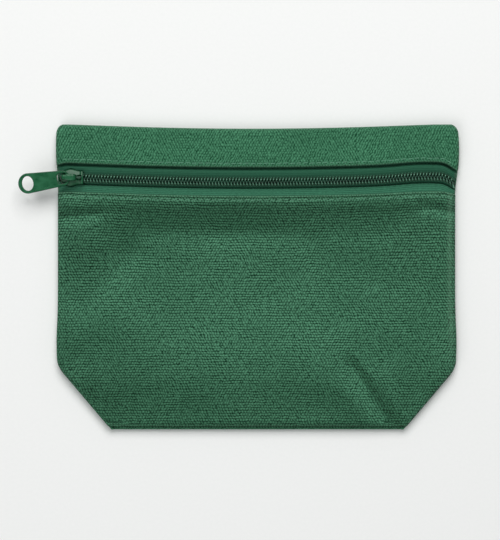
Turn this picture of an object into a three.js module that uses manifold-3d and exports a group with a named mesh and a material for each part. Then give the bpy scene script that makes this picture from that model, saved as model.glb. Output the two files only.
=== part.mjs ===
// A flat canvas cash bag with a coil zipper near its top edge, lying on its back.
// Millimetres. The origin is the centre of the back face, +X runs along the zipper,
// +Y points to the top fold and +Z comes out of the front.

import * as THREE from 'three';
import { mergeVertices } from 'three/addons/utils/BufferGeometryUtils.js';
import Module from 'manifold-3d';

const wasm = await Module();
wasm.setup();

// ---------------------------------------------------------------- driving sizes

// the bag's outline
const bagWidth = 200;
const bagHeight = 152;
const cornerRun = 27;            // each bottom corner folds in this far along the crease
const cornerRise = 32;           // and starts this far up the side
const topCornerRadius = 4;
const sideCornerRadius = 9;
const creaseCornerRadius = 3;

// its layers
const canvas = 1.0;              // thickness of the outer cloth
const innerCloth = 0.9;          // the cloth of the folds inside, pressed a little thinner
const pocketDepth = 5.4;         // clear space between the front and the back
const layerGap = 0.3;            // between two layers that lie on each other
const baseTuck = 27;             // the base folds in this deep between front and back
const seamAllowance = 8.7;       // cloth turned inside along each side seam
const overlockWidth = 1.6;

// the zipper
const zipDrop = 26.7;            // from the top fold to the middle of the chain
const bandToChain = 6.5;         // from the chain's middle to the top band's edge
const panelToChain = 8.3;        // from the chain's middle to the front panel's edge
const tapeWidth = 16;
const tapeThickness = 0.5;
const coilWidth = 2.5;           // one side of the chain
const coilHeight = 2.3;
const coilWall = 0.6;            // the monofilament's own thickness
const meshGap = 0.3;             // between the two sides where they are closed
const coilThreadWidth = 0.9;
const threadHeight = 0.3;
const topstitchWidth = 0.6;
const bandStitchInset = 2.4;     // from the top band's edge to its row of stitches
const panelStitchInset = 1.2;    // from the front panel's edge to its row
const threadGap = 0.1;

// the slider, its cap, its locking pawl and its pull
const sliderLength = 11;
const sliderPlate = 0.9;
const sliderClearance = 0.3;     // around the tapes and the chain
const sliderEndGap = 2.7;        // from the slider to the side seam
const flangeThickness = 1.0;     // the rear stretch of each side wall
const wingThickness = 0.5;       // the front stretch of each side wall
const wedgeWidth = 2.6;          // the post that parts the two sides of the chain
const wedgeLength = 3.6;
const capLength = 7.0;
const capWidth = 2.4;
const capThickness = 0.8;
const capFoot = 0.9;
const capToRear = 4.0;           // from the cap's rear foot to the slider's rear edge
const metalGap = 0.1;            // between two small metal pieces that touch
const pawlThickness = 0.4;
const pawlWidth = 1.0;
const pawlLift = 0.6;            // room above the pawl for it to let go of the teeth
const pawlWindow = 1.5;          // length of the slot that its prong goes through
const pawlWindowWeb = 0.7;       // metal left behind that slot
const pullLength = 25.5;
const pullThickness = 1.2;
const pullTilt = 8.6;            // degrees that it lies askew in the cap
const pullWideHalf = 5.05;       // half its width at the far end
const pullNarrowHalf = 3.85;     // half its width at the slider
const pullEndRun = 4.7;          // how long the rounded far end is
const pullHoleRun = 2.8;         // half the finger hole's length
const pullHoleHalf = 3.65;       // half the finger hole's width
const pullBar = 1.45;            // the bar that the cap holds
const pullSlotLength = 4.6;
const pullSlotHalf = 2.65;
const pullSlotRadius = 1.7;
const pullNeckRadius = 3.2;

// ---------------------------------------------------------------- derived places

const halfWidth = bagWidth / 2;
const halfHeight = bagHeight / 2;
const frontUnder = canvas + pocketDepth;
const frontTop = frontUnder + canvas;
const seamHeight = frontTop / 2;         // the side seams run at half the bag's thickness

const chainY = halfHeight - zipDrop;
const bandEdgeY = chainY + bandToChain;
const panelEdgeY = chainY - panelToChain;

const tapeTop = frontUnder - layerGap;
const tapeUnder = tapeTop - tapeThickness;
const coilUnder = tapeTop + layerGap;
const coilTop = coilUnder + coilHeight;
const innerHalfWidth = halfWidth - canvas - layerGap;

const sliderLeft = -halfWidth + sliderEndGap;
const sliderRight = sliderLeft + sliderLength;
const lowerPlateTop = tapeUnder - sliderClearance;
const lowerPlateUnder = lowerPlateTop - sliderPlate;
const upperPlateUnder = coilTop + sliderClearance;
const upperPlateTop = upperPlateUnder + sliderPlate;
const chainHalf = meshGap / 2 + coilWidth;
const spread = wedgeWidth / 2 + sliderClearance - meshGap / 2;   // how far the wedge pushes a side out
const rearHalf = chainHalf + sliderClearance + flangeThickness;
const wingHalf = chainHalf + spread + sliderClearance + wingThickness;
const wedgeRight = sliderLeft + wedgeLength;
const meetX = wedgeRight + 2.6;          // right of here the chain is closed

const capRight = sliderRight - capToRear;
const capLeft = capRight - capLength;
const barX = (capLeft + capRight) / 2;
const barSweep = Math.hypot(pullBar, pullThickness) / 2 + metalGap;
const barZ = upperPlateTop + barSweep;
const pawlUnder = barZ + barSweep;
const pawlTop = pawlUnder + pawlThickness;
const capUnder = pawlTop + pawlLift;
const capTop = capUnder + capThickness;

// ---------------------------------------------------------------- solids

function solidOf(geometry) {
  const bare = geometry.clone();
  bare.deleteAttribute('normal');
  bare.deleteAttribute('uv');
  const merged = mergeVertices(bare);
  return new wasm.Manifold(new wasm.Mesh({
    numProp: 3,
    vertProperties: new Float32Array(merged.attributes.position.array),
    triVerts: new Uint32Array(merged.index.array),
  }));
}

function geometryOf(solid) {
  const mesh = solid.getMesh();
  const geometry = new THREE.BufferGeometry();
  geometry.setAttribute('position', new THREE.BufferAttribute(mesh.vertProperties, 3));
  geometry.setIndex(new THREE.BufferAttribute(mesh.triVerts, 1));
  geometry.computeVertexNormals();
  return geometry;
}

function prism(shape, low, high, curveSegments = 6) {
  const geometry = new THREE.ExtrudeGeometry(shape, {
    depth: high - low, bevelEnabled: false, curveSegments,
  });
  geometry.translate(0, 0, low);
  return solidOf(geometry);
}

function block(x0, x1, y0, y1, z0, z1) {
  const geometry = new THREE.BoxGeometry(x1 - x0, y1 - y0, z1 - z0);
  geometry.translate((x0 + x1) / 2, (y0 + y1) / 2, (z0 + z1) / 2);
  return solidOf(geometry);
}

function polygon(points) {
  return new THREE.Shape(points.map(([x, y]) => new THREE.Vector2(x, y)));
}

// A shape drawn in X and Z, extruded along Y between low and high.
function prismAlongY(shape, low, high) {
  const geometry = new THREE.ExtrudeGeometry(shape, { depth: high - low, bevelEnabled: false });
  geometry.rotateX(Math.PI / 2);
  geometry.translate(0, high, 0);
  return solidOf(geometry);
}

// ---------------------------------------------------------------- the bag's outline

function moveEdgesIn(corners, inset) {
  const lines = corners.map((start, i) => {
    const end = corners[(i + 1) % corners.length];
    const along = end.clone().sub(start).normalize();
    const inward = new THREE.Vector2(-along.y, along.x);
    return { start: start.clone().addScaledVector(inward, inset), along };
  });
  return lines.map((line, i) => {
    const before = lines[(i + lines.length - 1) % lines.length];
    const gap = line.start.clone().sub(before.start);
    const reach = gap.cross(line.along) / before.along.cross(line.along);
    return before.start.clone().addScaledVector(before.along, reach);
  });
}

function roundedShape(corners, radii) {
  const shape = new THREE.Shape();
  corners.forEach((corner, i) => {
    const before = corners[(i + corners.length - 1) % corners.length];
    const after = corners[(i + 1) % corners.length];
    const from = corner.clone().add(before.clone().sub(corner).setLength(radii[i]));
    const to = corner.clone().add(after.clone().sub(corner).setLength(radii[i]));
    if (i === 0) shape.moveTo(from.x, from.y);
    else shape.lineTo(from.x, from.y);
    shape.quadraticCurveTo(corner.x, corner.y, to.x, to.y);
  });
  shape.closePath();
  return shape;
}

// Counter-clockwise from the left end of the bottom crease, moved in by inset.
function bagOutline(inset) {
  const corners = [
    new THREE.Vector2(-halfWidth + cornerRun, -halfHeight),
    new THREE.Vector2(halfWidth - cornerRun, -halfHeight),
    new THREE.Vector2(halfWidth, -halfHeight + cornerRise),
    new THREE.Vector2(halfWidth, halfHeight),
    new THREE.Vector2(-halfWidth, halfHeight),
    new THREE.Vector2(-halfWidth, -halfHeight + cornerRise),
  ];
  const radii = [
    creaseCornerRadius, creaseCornerRadius, sideCornerRadius,
    topCornerRadius, topCornerRadius, sideCornerRadius,
  ];
  return roundedShape(moveEdgesIn(corners, inset), radii.map((r) => Math.max(r - inset, 0.5)));
}

function above(y) {
  return block(-bagWidth, bagWidth, y, bagHeight, -bagWidth, bagWidth);
}

function below(y) {
  return block(-bagWidth, bagWidth, -bagHeight, y, -bagWidth, bagWidth);
}

// ---------------------------------------------------------------- canvas pieces

// The back wraps over the top fold and comes down the front as the band above the zipper.
function backPanel() {
  const plate = prism(bagOutline(0), 0, canvas);
  const rim = prism(bagOutline(0), 0, seamHeight - layerGap / 2)
    .subtract(prism(bagOutline(canvas), -canvas, frontTop));
  const wrap = prism(bagOutline(0), 0, frontTop)
    .subtract(prism(bagOutline(canvas), canvas, frontUnder))
    .intersect(above(bandEdgeY));
  return plate.add(rim).add(wrap);
}

// The front is a shallow tray: its rims come down to the side seams and the bottom crease.
function frontPanel() {
  return prism(bagOutline(0), seamHeight + layerGap / 2, frontTop)
    .subtract(prism(bagOutline(canvas), 0, frontUnder))
    .intersect(below(panelEdgeY));
}

const foldUnder = canvas + layerGap;
const foldTop = frontUnder - layerGap;

// The base folds in as a pleat, closed towards the pocket and open at the crease.
function baseGusset() {
  const half = halfWidth - cornerRun - layerGap / 2;
  const crease = -halfHeight + canvas + layerGap;
  const ridge = -halfHeight + baseTuck;
  const outer = prism(bagOutline(canvas + layerGap), foldUnder, foldTop)
    .intersect(block(-half, half, -bagHeight, ridge, 0, frontTop));
  const slit = block(
    -bagWidth, bagWidth, crease - canvas, ridge - innerCloth,
    foldUnder + innerCloth, foldTop - innerCloth,
  );
  return outer.subtract(slit);
}

// A folded corner is a triangular pleat, open along the diagonal fold.
function cornerGusset(side) {
  const nearX = halfWidth - cornerRun + layerGap / 2;
  const topY = -halfHeight + cornerRise;
  const xs = (a, b) => (side > 0 ? [a, b] : [-b, -a]);
  const outer = prism(bagOutline(canvas + layerGap), foldUnder, foldTop)
    .intersect(block(...xs(nearX, bagWidth), -bagHeight, topY, 0, frontTop));
  const slit = block(
    ...xs(nearX + innerCloth, bagWidth), -bagHeight, topY - innerCloth,
    foldUnder + innerCloth, foldTop - innerCloth,
  );
  return outer.subtract(slit);
}

function sideStrip(side, outerX, width) {
  const innerX = outerX - width;
  const xs = side > 0 ? [innerX, outerX] : [-outerX, -innerX];
  return prism(bagOutline(canvas + layerGap), foldUnder, foldUnder + 2 * innerCloth)
    .intersect(block(...xs, -halfHeight + cornerRise + layerGap, bagHeight, 0, frontTop));
}

function seamAllowanceStrip(side) {
  return sideStrip(side, innerHalfWidth, seamAllowance);
}

function sideOverlock(side) {
  return sideStrip(side, innerHalfWidth - seamAllowance - layerGap, overlockWidth);
}

// ---------------------------------------------------------------- the zipper

// Plan of one side of the zipper, from near to far out of the chain's middle.
// The slider's wedge holds its inner edge open at the left end.
function zipSide(side, near, far, farSpread, endX = innerHalfWidth) {
  const y = (out) => chainY + side * out;
  const points = [
    [-endX, y(near + spread)], [wedgeRight, y(near + spread)],
    [meetX, y(near)], [endX, y(near)],
    [endX, y(far)], [meetX, y(far)],
    [wedgeRight, y(far + farSpread)], [-endX, y(far + farSpread)],
  ];
  return polygon(side > 0 ? points : points.reverse());
}

function zipTape(side) {
  return prism(zipSide(side, meshGap / 2, tapeWidth, 0), tapeUnder, tapeTop);
}

const coreNear = meshGap / 2 + coilWall;
const coreFar = meshGap / 2 + coilWidth - coilWall;

// The coil is a flattened tube of wound monofilament, open at its ends.
function zipCoil(side) {
  const core = zipSide(side, coreNear, coreFar, spread, innerHalfWidth + canvas);
  return prism(zipSide(side, meshGap / 2, chainHalf, spread), coilUnder, coilTop)
    .subtract(prism(core, coilUnder + coilWall, coilTop - coilWall));
}

function fillerCord(side) {
  const shape = zipSide(side, coreNear + threadGap, coreFar - threadGap, spread);
  return prism(shape, coilUnder + coilWall + threadGap, coilTop - coilWall - threadGap);
}

function coilThread(side) {
  const middle = meshGap / 2 + coilWidth / 2;
  const shape = zipSide(side, middle - coilThreadWidth / 2, middle + coilThreadWidth / 2, spread);
  return prism(shape, coilTop + threadGap / 2, coilTop + sliderClearance - threadGap / 2);
}

function topstitch(y) {
  return block(
    -innerHalfWidth, innerHalfWidth, y - topstitchWidth / 2, y + topstitchWidth / 2,
    frontTop + threadGap, frontTop + threadGap + threadHeight,
  );
}

// ---------------------------------------------------------------- the slider

// Plan of the slider: winged round the wedge, narrow and square at the rear.
function sliderPlan(thin) {
  const nose = wingHalf * 0.7 - thin;
  const wing = wingHalf - thin;
  const rear = rearHalf - thin;
  const half = [
    [sliderLeft, nose], [sliderLeft + 1.4, wing],
    [meetX - 1.0, wing], [meetX + 1.2, rear], [sliderRight, rear],
  ];
  const mirrored = half.map(([x, y]) => [x, -y]).reverse();
  return [...half, ...mirrored].map(([x, y]) => [x, chainY + y]).reverse();
}

// The room inside the slider that the two sides of the chain run through.
function chainRoom() {
  const wide = chainHalf + spread + sliderClearance;
  const narrow = chainHalf + sliderClearance;
  return polygon([
    [sliderLeft - canvas, chainY - wide], [meetX - 0.4, chainY - wide],
    [meetX + 1.4, chainY - narrow], [sliderRight + canvas, chainY - narrow],
    [sliderRight + canvas, chainY + narrow], [meetX + 1.4, chainY + narrow],
    [meetX - 0.4, chainY + wide], [sliderLeft - canvas, chainY + wide],
  ]);
}

function wedge() {
  const half = wedgeWidth / 2;
  const plan = polygon([
    [sliderLeft + 0.2, chainY - half], [wedgeRight - 1.4, chainY - half],
    [wedgeRight, chainY], [wedgeRight - 1.4, chainY + half],
    [sliderLeft + 0.2, chainY + half],
  ]);
  return prism(plan, lowerPlateUnder + sliderPlate / 2, upperPlateTop - sliderPlate / 2);
}

const windowRight = sliderRight - pawlWindowWeb;
const windowLeft = windowRight - pawlWindow;

function sliderBody() {
  const plan = polygon(sliderPlan(0));
  const flangeUnder = tapeTop + sliderClearance;
  const hood = prism(plan, flangeUnder, upperPlateTop)
    .subtract(prism(chainRoom(), 0, upperPlateUnder));
  const floor = prism(polygon(sliderPlan(wingThickness)), lowerPlateUnder, lowerPlateTop);
  const slot = block(
    windowLeft, windowRight, chainY - pawlWidth / 2 - 2 * metalGap,
    chainY + pawlWidth / 2 + 2 * metalGap, upperPlateUnder - canvas, capTop,
  );
  return hood.add(floor).add(wedge()).subtract(slot);
}

// A bridge over the pull's bar, with a slot in its rear foot for the pawl.
function sliderCap() {
  const footZ = upperPlateTop + metalGap;
  const chamfer = 0.8;
  const outline = polygon([
    [capLeft, footZ], [capLeft + capFoot, footZ], [capLeft + capFoot, capUnder],
    [capRight - capFoot, capUnder], [capRight - capFoot, footZ], [capRight, footZ],
    [capRight, capTop - chamfer], [capRight - chamfer, capTop],
    [capLeft + chamfer, capTop], [capLeft, capTop - chamfer],
  ]);
  const halfSlot = pawlWidth / 2 + metalGap;
  const slot = block(
    capRight - 2 * capFoot, capRight + capFoot, chainY - halfSlot, chainY + halfSlot,
    pawlUnder - metalGap, capUnder,
  );
  return prismAlongY(outline, chainY - capWidth / 2, chainY + capWidth / 2).subtract(slot);
}

const pawlLeft = capLeft + capFoot + metalGap;
const prongX = (windowLeft + windowRight) / 2;

// A strip under the cap, bent down behind it into the chain.
function lockPawl() {
  const right = prongX + pawlThickness;
  const left = prongX - pawlThickness;
  const outline = polygon([
    [pawlLeft, pawlUnder], [left, pawlUnder], [left, coilTop + 2 * threadGap + threadHeight],
    [right, coilTop + 2 * threadGap + threadHeight], [right, pawlTop], [pawlLeft, pawlTop],
  ]);
  return prismAlongY(outline, chainY - pawlWidth / 2, chainY + pawlWidth / 2);
}

// The pull's plan, drawn with its bar's middle at zero and its far end along -X.
function pullPlan() {
  const tip = pullBar / 2;
  const farCentre = tip - pullLength + pullEndRun;
  const neck = tip - pullNeckRadius;
  const shape = new THREE.Shape();
  shape.moveTo(neck, pullNarrowHalf);
  shape.lineTo(farCentre, pullWideHalf);
  shape.absellipse(farCentre, 0, pullEndRun, pullWideHalf, Math.PI / 2, 1.5 * Math.PI, false, 0);
  shape.lineTo(neck, -pullNarrowHalf);
  shape.quadraticCurveTo(tip - 0.6, -pullNarrowHalf, tip, -pullNarrowHalf + pullNeckRadius);
  shape.lineTo(tip, pullNarrowHalf - pullNeckRadius);
  shape.quadraticCurveTo(tip - 0.6, pullNarrowHalf, neck, pullNarrowHalf);
  return { shape, farCentre };
}

function pullSlot() {
  const right = -pullBar / 2;
  const left = right - pullSlotLength;
  const corners = [[left, -1], [right, -1], [right, 1], [left, 1]]
    .map(([x, y]) => new THREE.Vector2(x, y * pullSlotHalf));
  return roundedShape(corners, corners.map(() => pullSlotRadius));
}

function pullTab() {
  const { shape, farCentre } = pullPlan();
  const hole = new THREE.Shape();
  hole.absellipse(farCentre, 0, pullHoleRun, pullHoleHalf, 0, 2 * Math.PI, false, 0);
  const half = pullThickness / 2;
  return prism(shape, -half, half, 12)
    .subtract(prism(hole, -pullThickness, pullThickness, 12))
    .subtract(prism(pullSlot(), -pullThickness, pullThickness));
}

// ---------------------------------------------------------------- finishes

const finishes = {
  canvas: { color: 0x3c6951, roughness: 0.9, metalness: 0.0 },
  innerCanvas: { color: 0x35604a, roughness: 0.92, metalness: 0.0 },
  tape: { color: 0x366c52, roughness: 0.85, metalness: 0.0 },
  coil: { color: 0x1f3e30, roughness: 0.45, metalness: 0.0 },
  thread: { color: 0x4b8166, roughness: 0.7, metalness: 0.0 },
  enamel: { color: 0x36674d, roughness: 0.35, metalness: 0.2 },
  steel: { color: 0x2f5a45, roughness: 0.4, metalness: 0.5 },
};

const bag = new THREE.Group();

function add(name, solid, finish, parent = bag) {
  const mesh = new THREE.Mesh(geometryOf(solid), new THREE.MeshStandardMaterial(finishes[finish]));
  mesh.name = name;
  parent.add(mesh);
}

add('back_panel', backPanel(), 'canvas');
add('front_panel', frontPanel(), 'canvas');
add('base_gusset', baseGusset(), 'innerCanvas');
for (const [word, side] of [['left', -1], ['right', 1]]) {
  add(`corner_gusset_${word}`, cornerGusset(side), 'innerCanvas');
  add(`seam_allowance_${word}`, seamAllowanceStrip(side), 'innerCanvas');
  add(`side_overlock_${word}`, sideOverlock(side), 'thread');
}
for (const [word, side] of [['upper', 1], ['lower', -1]]) {
  add(`zipper_tape_${word}`, zipTape(side), 'tape');
  add(`zipper_coil_${word}`, zipCoil(side), 'coil');
  add(`filler_cord_${word}`, fillerCord(side), 'thread');
  add(`coil_thread_${word}`, coilThread(side), 'thread');
}
add('topstitch_upper', topstitch(bandEdgeY + bandStitchInset), 'thread');
add('topstitch_lower', topstitch(panelEdgeY - panelStitchInset), 'thread');
add('slider_body', sliderBody(), 'enamel');
add('slider_cap', sliderCap(), 'enamel');
add('lock_pawl', lockPawl(), 'steel');

const pullPlace = new THREE.Group();
pullPlace.position.set(barX, chainY, barZ);
pullPlace.rotation.z = THREE.MathUtils.degToRad(pullTilt);
add('pull_tab', pullTab(), 'enamel', pullPlace);
bag.add(pullPlace);

export default bag;
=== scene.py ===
"""A green canvas cash bag with a coil zipper, lying on its back on a pale table.

Lengths in the functions below are millimetres in the frame's axes; objects are made in metres.
"""
import math

import bpy
import numpy as np
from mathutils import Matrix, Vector, noise


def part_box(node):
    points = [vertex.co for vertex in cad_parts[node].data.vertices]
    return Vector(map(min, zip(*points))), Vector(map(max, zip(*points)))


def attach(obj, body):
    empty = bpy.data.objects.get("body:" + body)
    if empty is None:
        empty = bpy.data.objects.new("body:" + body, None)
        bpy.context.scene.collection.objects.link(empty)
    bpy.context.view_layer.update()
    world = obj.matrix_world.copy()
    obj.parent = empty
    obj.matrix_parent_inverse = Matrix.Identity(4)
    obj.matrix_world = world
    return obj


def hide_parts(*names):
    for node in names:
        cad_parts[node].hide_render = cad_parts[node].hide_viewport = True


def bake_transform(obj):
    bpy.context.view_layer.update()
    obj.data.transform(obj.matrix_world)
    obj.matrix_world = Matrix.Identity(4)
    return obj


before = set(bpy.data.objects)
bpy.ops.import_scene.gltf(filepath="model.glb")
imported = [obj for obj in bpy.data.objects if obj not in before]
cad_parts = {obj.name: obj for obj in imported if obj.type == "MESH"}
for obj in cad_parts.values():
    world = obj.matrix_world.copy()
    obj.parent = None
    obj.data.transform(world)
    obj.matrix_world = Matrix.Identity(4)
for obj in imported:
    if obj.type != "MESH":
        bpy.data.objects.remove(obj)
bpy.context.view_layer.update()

MM = 0.001


def box_mm(node):
    low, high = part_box(node)
    return np.array(low) / MM, np.array(high) / MM


# ------------------------------------------------------------------ places from the frame

BACK_LOW, BACK_HIGH = box_mm("back_panel")
GUSSET_HIGH = box_mm("base_gusset")[1]
CORNER_TOP_Y = box_mm("corner_gusset_right")[1][1]
TAPE_LOW, TAPE_HIGH = box_mm("zipper_tape_upper")
COIL_LOW, COIL_HIGH = box_mm("zipper_coil_upper")
SLIDER_LOW, SLIDER_HIGH = box_mm("slider_body")
CAP_LOW, CAP_HIGH = box_mm("slider_cap")
ALLOWANCE_LOW, ALLOWANCE_HIGH = box_mm("seam_allowance_right")
OVERLOCK_LOW, OVERLOCK_HIGH = box_mm("side_overlock_right")
BAND_STITCH_Y = sum(corner[1] for corner in box_mm("topstitch_upper")) / 2 + 0.3

HALF_WIDTH = BACK_HIGH[0]
TOP_Y = BACK_HIGH[1]
CREASE_Y = BACK_LOW[1]
FACE_Z = BACK_HIGH[2]
SEAM_Z = FACE_Z / 2
CREASE_HALF = GUSSET_HIGH[0]
CHAIN_Y = (SLIDER_LOW[1] + SLIDER_HIGH[1]) / 2
ZIP_END_X = COIL_HIGH[0]
CANVAS = 0.85                       # cloth thickness, a little under the CAD's stiff shell

# ------------------------------------------------------------------ camera and stage

PICTURE_WIDTH = 248.2               # how much of the table the picture spans
PICTURE_CENTRE = (-3.7, 3.5)
CAMERA_HEIGHT = 1100.0
SENSOR = 36.0


def make_camera():
    data = bpy.data.cameras.new("camera")
    data.sensor_fit = "HORIZONTAL"
    data.sensor_width = SENSOR
    data.lens = SENSOR * (CAMERA_HEIGHT - FACE_Z) / PICTURE_WIDTH
    data.clip_end = 20
    camera = bpy.data.objects.new("camera", data)
    camera.location = (PICTURE_CENTRE[0] * MM, PICTURE_CENTRE[1] * MM, CAMERA_HEIGHT * MM)
    bpy.context.collection.objects.link(camera)
    bpy.context.scene.camera = camera


make_camera()


def area_light(name, place, size, power, colour):
    """A round lamp that shines at the middle of the bag."""
    data = bpy.data.lights.new(name, "AREA")
    data.shape = "DISK"
    data.size = size
    data.energy = power
    data.color = colour
    light = bpy.data.objects.new(name, data)
    light.location = place
    light.rotation_euler = (-Vector(place)).to_track_quat("-Z", "Y").to_euler()
    bpy.context.collection.objects.link(light)


def make_studio():
    world = bpy.data.worlds.new("studio")
    world.use_nodes = True
    background = world.node_tree.nodes["Background"]
    background.inputs["Color"].default_value = (1.0, 1.0, 1.0, 1)
    background.inputs["Strength"].default_value = 0.30
    bpy.context.scene.world = world
    bpy.context.scene.view_settings.view_transform = "Standard"
    area_light("window", (0.05, 0.95, 1.35), size=1.15, power=21.0, colour=(1.0, 1.0, 0.99))
    area_light("fill", (-0.7, -0.9, 1.4), size=1.4, power=8.0, colour=(0.98, 1.0, 1.0))
    corners = [(-4, -4, 0), (4, -4, 0), (4, 4, 0), (-4, 4, 0)]
    floor = mesh_object("floor", corners, [(0, 1, 2, 3)], scale=1)
    floor.data.materials.append(floor_material())


# ------------------------------------------------------------------ mesh helpers

def mesh_object(name, points, faces, scale=MM, smooth=False):
    """A new object; the points are in millimetres unless another scale is given."""
    mesh = bpy.data.meshes.new(name)
    mesh.from_pydata([tuple(scale * c for c in p) for p in points], [], faces)
    mesh.validate()
    if smooth:
        mesh.shade_smooth()
    made = bpy.data.objects.new(name, mesh)
    bpy.context.collection.objects.link(made)
    return made


def grid_object(name, grid, cloth, flip=False, marks=None, fullness=None):
    """A sheet from rows x columns of points, with each point's place on the flat cloth.

    Marks are further values at its points, and fullness is each column's share of the thickness.
    """
    rows, columns = grid.shape[:2]
    starts = [r * columns + c for r in range(rows - 1) for c in range(columns - 1)]
    faces = [(i, i + 1, i + columns + 1, i + columns) for i in starts]
    if flip:
        faces = [face[::-1] for face in faces]
    made = mesh_object(name, grid.reshape(-1, 3), faces, smooth=True)
    attribute = made.data.attributes.new("cloth", "FLOAT_VECTOR", "POINT")
    flat = np.zeros((rows * columns, 3), np.float32)
    flat[:, :2] = cloth.reshape(-1, 2) * MM
    attribute.data.foreach_set("vector", flat.ravel())
    if fullness is not None:
        group = made.vertex_groups.new(name="fullness")
        for c in range(columns):
            group.add([r * columns + c for r in range(rows)], float(fullness[c]), "REPLACE")
    for mark, values in (marks or {}).items():
        mark_points(made, mark, values)
    return made


def mark_points(made, mark, values):
    """Stores one value for each point, which a material can read."""
    attribute = made.data.attributes.new(mark, "FLOAT", "POINT")
    attribute.data.foreach_set("value", values.astype(np.float32).ravel())


def thicken(made, thickness):
    """Cloth thickness behind the faces' outer side."""
    modifier = made.modifiers.new("thickness", "SOLIDIFY")
    modifier.thickness = thickness * MM
    modifier.offset = -1
    if made.vertex_groups:
        modifier.vertex_group = made.vertex_groups[0].name
    modifier.use_even_offset = False
    return made


def soften(made, width, segments=3, angle=35):
    """Rounded edges. Faces are joined and made whole first, so that only real edges are rounded."""
    weld = made.modifiers.new("joined", "WELD")
    weld.merge_threshold = 0.002 * MM
    flat = made.modifiers.new("whole_faces", "DECIMATE")
    flat.decimate_type = "DISSOLVE"
    flat.angle_limit = math.radians(0.5)
    modifier = made.modifiers.new("edges", "BEVEL")
    modifier.use_clamp_overlap = False
    modifier.width = width * MM
    modifier.segments = segments
    modifier.limit_method = "ANGLE"
    modifier.angle_limit = math.radians(angle)


def tube_mesh(paths, radius, sides=8, flat=1.0):
    """Points and faces of round tubes along each path, flattened in their second direction."""
    points, faces = [], []
    angles = np.linspace(0, 2 * math.pi, sides, endpoint=False)
    for path in paths:
        path = np.asarray(path, float)
        along = np.gradient(path, axis=0)
        along /= np.linalg.norm(along, axis=1)[:, None]
        side = np.cross(along[0], (0.0, 0.0, 1.0))
        if np.linalg.norm(side) < 1e-3:
            side = np.array((0.0, 1.0, 0.0))
        start = len(points)
        for place, direction in zip(path, along):
            side = side - direction * (side @ direction)
            side /= np.linalg.norm(side)
            up = np.cross(side, direction)
            for angle in angles:
                points.append(place + radius * (math.cos(angle) * side + flat * math.sin(angle) * up))
        for i in range(len(path) - 1):
            for j in range(sides):
                a, b = start + i * sides + j, start + i * sides + (j + 1) % sides
                faces.append((a, b, b + sides, a + sides))
        faces.append(tuple(start + j for j in range(sides)))
        end = start + (len(path) - 1) * sides
        faces.append(tuple(end + j for j in reversed(range(sides))))
    return points, faces


def tube_object(name, paths, radius, sides=8, flat=1.0):
    points, faces = tube_mesh(paths, radius, sides, flat)
    return mesh_object(name, points, faces, smooth=True)


def rings_object(name, rings):
    """A closed skin over a stack of rings with the same number of points."""
    n = len(rings[0])
    faces = [
        (r * n + i, r * n + (i + 1) % n, (r + 1) * n + (i + 1) % n, (r + 1) * n + i)
        for r in range(len(rings) - 1)
        for i in range(n)
    ]
    last = (len(rings) - 1) * n
    faces += [tuple(reversed(range(n))), tuple(range(last, last + n))]
    return mesh_object(name, np.concatenate(rings), faces, smooth=True)


# ------------------------------------------------------------------ the bag's shape

CREASE_CORNER = 3.0                 # how far the outline rounds off where the corners are folded
TOP_CORNER = 4.5
SIDE_ROLL = 3.4                     # how far in from the side seam the cloth has risen to its face
FOLD_ROLL = 2.6                     # the same at the creases of the base
TUCK_IN, TUCK = 1.1, 0.9            # how far the cloth turns back into a side seam, in and down
PLEAT_IN, PLEAT_TURN = 1.6, 0.85    # the same where it turns into the base's pleat
FRONT_CREASE_Y = CREASE_Y + 1.7     # the front's crease lies behind the back's
SAG = 2.1                           # how far the zipper and the top fold dip in the middle
HEM = 8.0                           # cloth turned under at the band's and the front's edges
HEM_RADIUS = CANVAS + 0.06
HEM_STEP = 0.45                     # the hem's two layers stand this much above one
FRONT_EDGE_Y = CHAIN_Y - 6.95
FRONT_STITCH_Y = FRONT_EDGE_Y - 2.1
GROOVE_Y = FRONT_EDGE_Y - 1.15      # the cloth dips along this line, just inside the front's edge
BAND_EDGE_Y = BAND_STITCH_Y - 1.9
BAND_FACE_Z = FACE_Z - 0.35
TAPE_Z = TAPE_HIGH[2] - 0.1         # the tapes' upper face
FRONT_SEAM_Z, BACK_SEAM_Z = SEAM_Z + 0.95, SEAM_Z - 0.95
FRONT_FOLD_Z, BACK_FOLD_Z = SEAM_Z + 1.4, SEAM_Z - 1.4
BASE_FOLD_Y = GUSSET_HIGH[1] - 1    # the fold of the base's pleat, deep inside the bag
BASE_FOLD_RADIUS = 0.6
CORNER_TUCK = 9.0                   # how deep the folded corners' cloth is tucked in

FRONT_SINK = 2.9                    # how far the front sinks below its edges
FRONT_SWELLS = (                    # middle, reach both ways, and height above the cloth around
    ((-84.0, 24.0), (17.0, 15.0), 1.3),
    ((88.0, 22.0), (16.0, 14.0), 0.6),
    ((-20.0, 24.0), (34.0, 8.0), -0.7),
    ((50.0, -58.0), (10.0, 12.0), 0.5),
)
FRONT_CREASES = (                   # start, end, width, depth, and how much gentler the lower side is
    ((45.8, -42.0), (70.0, -78.5), 3.0, 1.35, 2.2),
    ((-100.0, 29.0), (-78.0, 32.0), 1.9, 1.3, 1.6),
    ((80.0, 36.0), (98.0, 32.0), 2.6, 0.7, 1.0),
    ((-60.0, 17.0), (-90.0, -19.0), 7.0, 1.1, 2.0),
    ((26.0, 22.0), (33.0, -12.0), 4.0, 0.35, 1.0),
)


def smooth_step(t):
    """From 0 to 1 as t goes from 0 to 1, without a corner at either end."""
    t = np.clip(t, 0, 1)
    return t * t * (3 - 2 * t)


def smooth_min(a, b, k):
    """The smaller of two values, rounded over where they are within k of each other."""
    h = np.clip(0.5 + 0.5 * (b - a) / k, 0, 1)
    return b * (1 - h) + a * h - k * h * (1 - h)


def hump(t, centre, width):
    """1 at the centre, falling to 0 on both sides."""
    return np.exp(-((t - centre) / width) ** 2)


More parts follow.
